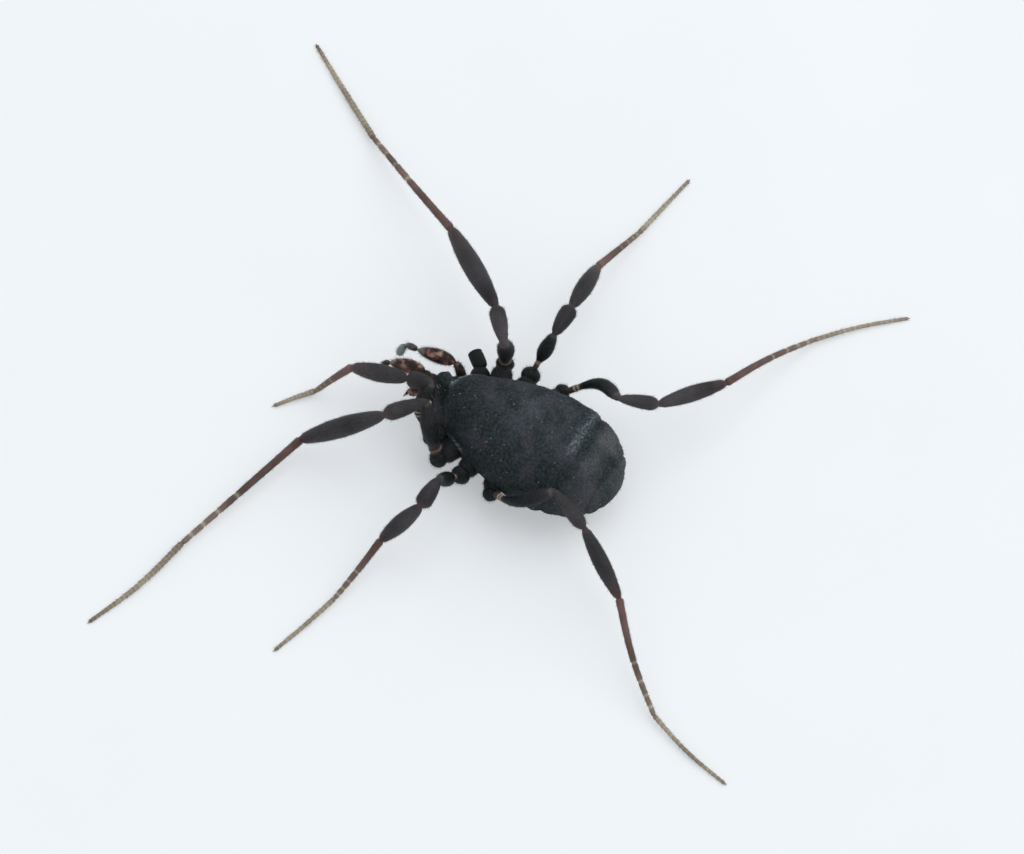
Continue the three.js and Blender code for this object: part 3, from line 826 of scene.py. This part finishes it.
def coxa_strand(pair, side):
    """The stout root piece under the shell; side is 1 on the left and -1 on the right."""
    root = np.array(COXA_ROOT[pair]) * [side, 1, 1]
    hip = np.array(HIP[pair]) * [side, 1, 1]
    return strand(root, hip, COXA_HALF[pair], coxa_shape, COXA_BROWN, stations=34, caps=(0.8, 0.4))


def leg_strands(leg):
    """Every tube of one leg from the root of its coxa to its toe, and the tube of its claw."""
    pair = int(leg[3])
    side = 1 if leg.endswith("left") else -1
    headings, climbs = POSE[leg]
    hip = np.array(HIP[pair]) * [side, 1, 1]
    root = np.array(COXA_ROOT[pair]) * [side, 1, 1]
    out = (hip - root) / np.linalg.norm(hip - root)
    ball = TROCHANTER_HALF[pair]
    knob = swelling(0.35, 0.65, power=0.5)
    tubes = [
        coxa_strand(pair, side),
        strand(hip - out * ball, hip + out * ball, ball, knob, BLACK, stations=18),
    ]
    looks = {
        "femur": (femur_shape(pair), FEMUR_BROWN, femur_pale(pair), 90),
        "patella": (patella_shape, PATELLA_BROWN, PLAIN, 40),
        "tibia": (tibia_shape, TIBIA_BROWN, PLAIN, 60),
        "metatarsus": (metatarsus_shape, METATARSUS_BROWN, metatarsus_pale, 130),
        "tarsus": (foot_shape(pair), FOOT_BROWN, foot_pale(pair), FOOT_RINGS[pair] * 9),
    }
    # the last two pieces bow outwards from the bend between them, so the leg ends in one curve
    outer = heading_to(headings[3], 0) - heading_to(headings[4], 0)
    sharp = np.linalg.norm(outer) / 2
    femur_bow, (outwards, back, up) = FEMUR_BOW[pair]
    bows = {
        "femur": (femur_bow, (outwards * side, back, up)),
        "metatarsus": (FAR_BOW * LENGTH[pair][3] * sharp, outer),
        "tarsus": (FAR_BOW * LENGTH[pair][4] * sharp, outer),
    }
    if leg == "leg2_left":
        bows["metatarsus"] = (0.0, UP)
        bows["tarsus"] = (CURLED_FOOT_BOW, CURLED_FOOT_WAY)
    joint = hip
    for k, kind in enumerate(LIMB):
        half = HALF_THICK[pair][k]
        length = LENGTH[pair][k]
        shape, brown, pale, stations = looks[kind]
        bow, bow_way = bows.get(kind, (0.0, UP))
        if kind in END_Z:
            climb = math.degrees(math.asin((END_Z[kind] - joint[2]) / length))
        else:
            climb = climbs[k]
        way = heading_to(headings[k], climb)
        after = joint + way * length
        start = joint - way * half * OVERLAP
        end = after + way * half * OVERLAP
        if kind == "femur":
            start = joint + way * ball * FEMUR_START
        if kind == "tarsus":
            end = after
        caps = (0.8, 0.6) if kind == "tarsus" else (0.8, 0.8)
        tubes.append(strand(start, end, half, shape, brown, pale, stations, bow, bow_way, caps))
        joint = after
    # the single claw, hooked down from the end of the foot
    forward = np.array([way[0], way[1], 0]) / np.hypot(way[0], way[1])
    tip = joint + forward * CLAW_REACH
    tip[2] = CLAW_TIP_Z
    claw_root = joint - way * CLAW_SINK
    claw = strand(claw_root, tip, CLAW_HALF, claw_shape, BROWN, stations=16, bow=CLAW_BOW)
    return tubes, claw


def swept(name, tubes, material, sides=LEG_SIDES):
    """Sweeps a list of tubes into one plain mesh piece."""
    cloud = np.concatenate(tubes)
    edges = []
    at = 0
    for rows in tubes:
        edges += [(at + i, at + i + 1) for i in range(len(rows) - 1)]
        at += len(rows)
    path = bpy.data.meshes.new(name + "_path")
    path.from_pydata(((cloud[:, :3] + body_place) * MM).tolist(), edges, [])
    tube_number = np.concatenate([np.full(len(rows), k) for k, rows in enumerate(tubes)])
    carry(path, "thickness", cloud[:, 3] * MM)
    carry(path, "paleness", cloud[:, 4])
    carry(path, "brownness", cloud[:, 5])
    carry(path, "way", cloud[:, 6:9], "FLOAT_VECTOR")
    carry(path, "along", (tube_number + cloud[:, 9]) / len(tubes))
    mesh = grown(name, path, sweep, {"Sides": sides, "Finish": material})
    bpy.data.meshes.remove(path)
    work = bmesh.new()
    work.from_mesh(mesh)
    bmesh.ops.recalc_face_normals(work, faces=work.faces)
    work.to_mesh(mesh)
    work.free()
    return added(name, mesh)


# The leg finish: slate black on the thick pieces, red-brown at their ends, and a pale
# olive horn on the rings, all by the tones carried along the leg.
leg_tones = (
    (0.34, (0.019, 0.0195, 0.022)),
    (0.52, (0.037, 0.036, 0.041)),
    (0.7, (0.07, 0.064, 0.072)),
)
leg_horn = chitin(
    "Leg horn", leg_tones, roughness=0.56, granules_per_mm=48.0, relief_mm=0.004, specks=0.3
)
horn_tree = leg_horn.node_tree
paleness = node_in(horn_tree, "ShaderNodeAttribute", attribute_name="paleness")
brownness = node_in(horn_tree, "ShaderNodeAttribute", attribute_name="brownness")
blackness = node_in(horn_tree, "ShaderNodeMapRange", {"From Min": 0.0, "From Max": -1.0})
# green black, brown and pale horn lie over the slate in turn, and each drifts between two tones
horn_layers = (
    (blackness, "Result", (0.4, (0.0035, 0.0075, 0.008)), (0.7, (0.02, 0.02, 0.023))),
    (brownness, "Fac", (0.35, (0.075, 0.031, 0.031)), (0.65, (0.19, 0.105, 0.092))),
    (paleness, "Fac", (0.35, (0.4, 0.35, 0.25)), (0.65, (0.62, 0.56, 0.43))),
)
join = joiner(horn_tree)
join(brownness, "Fac", blackness, "Value")
below = horn_tree.nodes["Specked"]
for amount, output, low, high in horn_layers:
    drifting = ramp_in(horn_tree, (low, high))
    mixed = node_in(horn_tree, "ShaderNodeMix", data_type="RGBA")
    join(horn_tree.nodes["Grain"], "Drift", drifting, "Fac")
    join(amount, output, mixed, 0)
    join(below, MIXED, mixed, UNDER)
    join(drifting, "Color", mixed, OVER)
    below = mixed
join(below, MIXED, horn_tree.nodes["Principled BSDF"], "Base Color")

claw_tones = ((0.3, (0.01, 0.007, 0.005)), (0.7, (0.045, 0.025, 0.014)))
claw_horn = chitin(
    "Claw horn", claw_tones, roughness=0.3, granules_per_mm=80.0, relief_mm=0.0005, specks=0.0
)
legs = {}
for leg in POSE:
    tubes, claw_tube = leg_strands(leg)
    piece = swept(leg, tubes, leg_horn)
    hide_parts(*[f"{leg}_{kind}" for kind in ("trochanter",) + LIMB])
    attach(piece, "root")
    legs[leg] = piece
    claw = swept(f"{leg}_claw", [claw_tube], claw_horn, CLAW_SIDES)
    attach(claw, "root")

# The fuzz of the legs, short fine hairs of chitin. They are rooted in every joint of a leg
# and lie along it, towards the foot.
fuzz_tones = ((0.3, (0.06, 0.054, 0.052)), (0.7, (0.17, 0.155, 0.145)))
fuzz_horn = chitin(
    "Fuzz horn", fuzz_tones, roughness=0.5, granules_per_mm=60.0, relief_mm=0.001, specks=0.0
)
fuzz_sizes = (0.019, 0.0019, 0.05)
for k, leg in enumerate(POSE):
    scattered(
        f"{leg}_fuzz", legs[leg], bristle_tree, fuzz_horn,
        most_per_mm2=1700, seed=20 + k, sizes=fuzz_sizes, stand=0.5, unrest=0.35,
    )

# The right first leg is lost. Only its coxa and its trochanter are left, hard tubes like
# those of the other legs, and the trochanter ends in a blunt healed stump.
STUB_FROM = (-0.67, -1.33, 0.53)
STUB_TO = (-0.86, -1.6, 0.57)
STUB_HALF = 0.116


def stub_shape(t):
    """A short tube with a shallow groove near its end."""
    return (0.86 + 0.14 * fade(t, 0.0, 0.4)) * (1 - 0.05 * dent(t - 0.8, 0.05))


stub_tubes = [
    coxa_strand(1, -1),
    strand(STUB_FROM, STUB_TO, STUB_HALF, stub_shape, BLACK, caps=(0.5, 0.42)),
]
stub = swept("leg1_right_stub", stub_tubes, leg_horn)
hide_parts("leg1_right_trochanter")
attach(stub, "root")

# The palps, a pair of short feelers that reach out in front of the mouth. Each is four tubes
# of thin amber chitin, jointed to each other, and ends in a soft pale club.
PALP_JOINTS = {
    "right": (
        (-0.17, -1.45, 0.52),
        (-0.39, -1.62, 0.95),
        (-0.25, -2.22, 0.97),
        (-0.24, -2.43, 0.93),
        (-0.146, -2.49, 0.7),
    ),
    "left": (
        (0.15, -1.52, 0.58),
        (0, -1.92, 1.0),
        (0.1, -2.5, 0.84),
        (0.14, -2.6, 0.66),
        (0.15, -2.62, 0.42),
    ),
}
PALP_HALF = (0.075, 0.11, 0.052, 0.062)
PALP_FEMUR_BOW = {"right": (0.085, (-1, 0.2, 0)), "left": (0.03, (1, 0, 0))}
PALP_BOW = (0.02, UP)
PALP_HAIR_SEED = {"right": 45, "left": 44}
palp_tones = (
    (0.4, (0.02, 0.0095, 0.008)),
    (0.53, (0.085, 0.034, 0.024)),
    (0.66, (0.36, 0.23, 0.185)),
)
palp_red = chitin(
    "Palp amber", palp_tones, roughness=0.4, granules_per_mm=40.0, relief_mm=0.003, specks=0.35
)
palp_tree = palp_red.node_tree
palp_shader = palp_tree.nodes["Principled BSDF"]
palp_shader.inputs["Subsurface Weight"].default_value = 0.1
palp_shader.inputs["Subsurface Scale"].default_value = 0.00005
palp_tree.nodes["Grain"].inputs["Drift per mm"].default_value = 9.0
# dark slate at the root, and a pale blue grey on the soft club
slate_amount = node_in(palp_tree, "ShaderNodeAttribute", attribute_name="brownness")
club_amount = node_in(palp_tree, "ShaderNodeAttribute", attribute_name="paleness")
slate_tint = {UNDER: (0.022, 0.022, 0.024, 1)}
club_tint = {OVER: (0.3, 0.36, 0.37, 1)}
from_slate = node_in(palp_tree, "ShaderNodeMix", slate_tint, data_type="RGBA")
to_club = node_in(palp_tree, "ShaderNodeMix", club_tint, data_type="RGBA")
join = joiner(palp_tree)
join(slate_amount, "Fac", from_slate, 0)
join(palp_tree.nodes["Specked"], MIXED, from_slate, OVER)
join(club_amount, "Fac", to_club, 0)
join(from_slate, MIXED, to_club, UNDER)
join(to_club, MIXED, palp_shader, "Base Color")


def palp_patella_shape(t):
    """Narrow at both ends, and thickest a little before its middle."""
    return 0.34 + 0.66 * np.sin(math.pi * np.clip(t, 0, 1) ** 0.85) ** 0.9


palp_femur_shape = swelling(0.72, 0.28, stretch=0.9, shift=0.1)
palp_tibia_shape = swelling(0.6, 0.4)
palp_club_shape = swelling(0.62, 0.38, stretch=0.85)
# the shape, the amount of amber over slate, and the paleness of each piece
palp_looks = (
    (palp_femur_shape, tone((0, 0), (0.7, 0.15), (1, 0.6)), PLAIN),
    (palp_patella_shape, tone((0, 0.3), (0.12, 1)), tone((0, 0), (0.75, 0), (0.92, 0.45), (1, 0.1))),
    (palp_tibia_shape, tone((0, 0.3), (1, 0.1)), tone((0, 0.1), (0.2, 0), (0.6, 0.2), (1, 0.5))),
    (palp_club_shape, tone((0, 0.4)), tone((0, 0.4), (0.3, 0.9), (1, 1))),
)
palp_hair_sizes = (0.017, 0.0021, 0.05)
for side in ("left", "right"):
    joints = PALP_JOINTS[side]
    tubes = []
    for k, (shape, amber, pale) in enumerate(palp_looks):
        bow, bow_way = PALP_FEMUR_BOW[side] if k == 0 else PALP_BOW
        half = PALP_HALF[k]
        tubes.append(strand(joints[k], joints[k + 1], half, shape, amber, pale, 40, bow, bow_way))
    palp = swept(f"palp_{side}", tubes, palp_red)
    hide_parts(*[f"palp_{side}_{kind}" for kind in ("femur", "patella", "tibia", "tarsus")])
    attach(palp, "root")
    scattered(
        f"palp_{side}_hairs", palp, bristle_tree, fuzz_horn,
        most_per_mm2=2200, seed=PALP_HAIR_SEED[side], sizes=palp_hair_sizes, stand=0.9, unrest=0.4,
    )

# The lobes either side of the mouth, the hard roots of the palps, of the same chitin as the
# coxae. They grow from under the shield's front corners.
LOBE_HALF = 0.112
LOBE_BOW = 0.02
lobe_shape = swelling(0.8, 0.2)
for side, sign in (("left", 1), ("right", -1)):
    lobe_from = (sign * 0.2, -1.3, 0.4)
    lobe_to = (sign * 0.33, -1.57, 0.42)
    lobe = strand(lobe_from, lobe_to, LOBE_HALF, lobe_shape, BLACK, bow=LOBE_BOW)
    root_lobe = swept(f"mouth_lobe_{side}", [lobe], leg_horn)
    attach(root_lobe, "root")

# The pincers, a pair that hangs under the front edge. Each is a stout arm and a hand with
# two thin fingers, of the palps' amber chitin, dark at the tips and jointed at the elbow.
ARM_HALF = 0.088
HAND_HALF = 0.078
FINGER_HALF = 0.028
ARM_BOW = 0.02
FINGER_CURVE = {-1: 0.006, 1: 0.009}
PINCER_HAIR_SEED = {"left": 51, "right": 49}
arm_shape = swelling(0.7, 0.3, stretch=1.1)
hand_shape = swelling(0.55, 0.45, stretch=0.85, shift=0.1)
arm_amber = tone((0, 0.2), (1, 0.7))
finger_amber = tone((0, 1), (0.6, 1), (1, 0.2))
pincer_hair_sizes = (0.03, 0.0021, 0.045)


def finger_shape(t):
    """A spike that tapers evenly."""
    return 1 - 0.75 * t


for side, sign in (("left", 1), ("right", -1)):
    root = np.array((sign * 0.1, -1.62, 0.49))
    elbow = np.array((sign * 0.14, -1.96, 0.58))
    knuckle = np.array((sign * 0.185, -2.11, 0.36))
    hand_from = elbow + (0, 0.02, -0.03)
    tubes = [
        strand(root, elbow, ARM_HALF, arm_shape, arm_amber, bow=ARM_BOW),
        strand(hand_from, knuckle, HAND_HALF, hand_shape, BROWN, stations=34),
    ]
    for spread, curve in FINGER_CURVE.items():
        base = knuckle + (spread * 0.02, -0.005, 0.02)
        point = (sign * 0.21 + spread * 0.004, -2.19, 0.19)
        away = (spread, 0, 0)
        finger = strand(
            base, point, FINGER_HALF, finger_shape, finger_amber, stations=26, bow=curve, bow_way=away
        )
        tubes.append(finger)
    pincer = swept(f"chelicera_{side}", tubes, palp_red)
    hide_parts(f"chelicera_{side}")
    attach(pincer, "root")
    scattered(
        f"chelicera_{side}_hairs", pincer, bristle_tree, fuzz_horn,
        most_per_mm2=900, seed=PINCER_HAIR_SEED[side], sizes=pincer_hair_sizes, stand=0.8, unrest=0.4,
    )

# The floor, a pale plain sheet of opal plastic that glows a little and is very slightly
# uneven, which keeps the shadows faint. From here on, sizes are in metres.
FLOOR_HALF = 0.4
corners = [(sx * FLOOR_HALF, sy * FLOOR_HALF, 0) for sx, sy in ((-1, -1), (1, -1), (1, 1), (-1, 1))]
floor_mesh = bpy.data.meshes.new("floor")
floor_mesh.from_pydata(corners, [], [(0, 1, 2, 3)])
floor = added("floor", floor_mesh)
floor_white = bpy.data.materials.new("Floor white")
floor_white.use_nodes = True
floor_tree = floor_white.node_tree
floor_shader = floor_tree.nodes["Principled BSDF"]
floor_shader.inputs["Roughness"].default_value = 0.85
floor_shader.inputs["Specular IOR Level"].default_value = 0.1
floor_shader.inputs["Emission Strength"].default_value = 0.52
sheet_place = node_in(floor_tree, "ShaderNodeTexCoord")
sheet = node_in(floor_tree, "ShaderNodeTexNoise", {"Scale": 260.0, "Detail": 3.0})
sheet_tones = ramp_in(floor_tree, ((0.3, (0.6, 0.622, 0.64)), (0.7, (0.612, 0.634, 0.652))))
join = joiner(floor_tree)
join(sheet_place, "Object", sheet, "Vector")
join(sheet, "Fac", sheet_tones, "Fac")
join(sheet_tones, "Color", floor_shader, "Base Color")
join(sheet_tones, "Color", floor_shader, "Emission Color")
floor_mesh.materials.append(floor_white)

# The light, soft and cool from all round, and a little stronger from one square softbox
# above the animal's right side.
CAMERA_TARGET = Vector((-0.0006, 0.0001, 0.0))
sky = bpy.data.worlds.new("Soft sky")
sky.use_nodes = True
sky.node_tree.nodes["Background"].inputs["Color"].default_value = (0.97, 0.985, 1.0, 1)
sky.node_tree.nodes["Background"].inputs["Strength"].default_value = 0.67
bpy.context.scene.world = sky
key_lamp = bpy.data.lights.new("key_light", "AREA")
key_lamp.size = 0.16
key_lamp.energy = 0.095
key_light = added("key_light", key_lamp)
key_light.location = (-0.07, 0.03, 0.12)
key_light.rotation_euler = (CAMERA_TARGET - key_light.location).to_track_quat("-Z", "Y").to_euler()

# The camera looks down on the animal's left side from a little behind, as the photograph
# does, with a lens long enough that near and far legs are drawn to nearly one scale.
VIEW_AZIMUTH = 122.5
VIEW_ELEVATION = 65.0
VIEW_DISTANCE = 0.15
PHOTO_WIDTH = 1024
PIXELS_PER_MM = 65.6
SENSOR_WIDTH = 36.0
lens_data = bpy.data.cameras.new("camera")
lens_data.sensor_width = SENSOR_WIDTH
lens_data.lens = SENSOR_WIDTH * VIEW_DISTANCE / (PHOTO_WIDTH / PIXELS_PER_MM * MM)
lens_data.clip_start = 0.002
lens_data.clip_end = 2.0
camera = added("camera", lens_data)
az = math.radians(VIEW_AZIMUTH)
el = math.radians(VIEW_ELEVATION)
toward = Vector((math.sin(az) * math.cos(el), -math.cos(az) * math.cos(el), math.sin(el)))
camera.location = CAMERA_TARGET + toward * VIEW_DISTANCE
camera.rotation_euler = (-toward).to_track_quat("-Z", "Y").to_euler()
bpy.context.scene.camera = camera
bpy.context.scene.view_settings.view_transform = "Standard"
